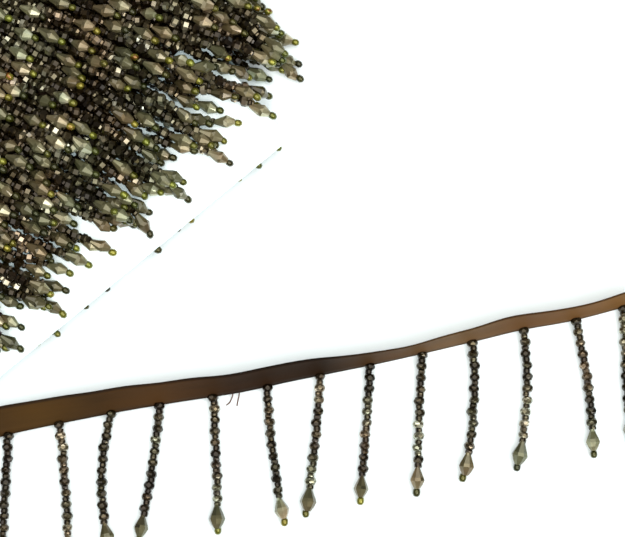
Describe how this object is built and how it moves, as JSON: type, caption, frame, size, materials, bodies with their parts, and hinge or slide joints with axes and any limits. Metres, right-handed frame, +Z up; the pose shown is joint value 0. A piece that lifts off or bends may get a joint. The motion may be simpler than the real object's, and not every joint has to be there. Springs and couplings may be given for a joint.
{
  "type": "roll of beaded fringe on a card",
  "caption": "Beaded fringe, satin tape with strands of faceted glass beads and drops, wound round a flat white card, with a loose end laid out beside it.",
  "frame": {"origin": "under the middle of the whole object's box, on the level that it rests on", "axes": "+Z up from the surface that it lies on; +X along the loose length, to the right; +Y away from its strands. The card is turned 40 degrees about Z."},
  "size_m": [0.345, 0.2586, 0.0193],
  "materials": {
    "board": "matt white board",
    "beads": "dark bronze mirror-coated faceted glass, opaque",
    "tape": "brown satin, sheen along its length",
    "loose_beads": "dark bronze mirror-coated faceted glass, opaque"
  },
  "bodies": {
    "root": {"card": "board", "roll": "beads", "loose_tape": "tape", "loose_fringe": "loose_beads"}
  },
  "joints": []
}
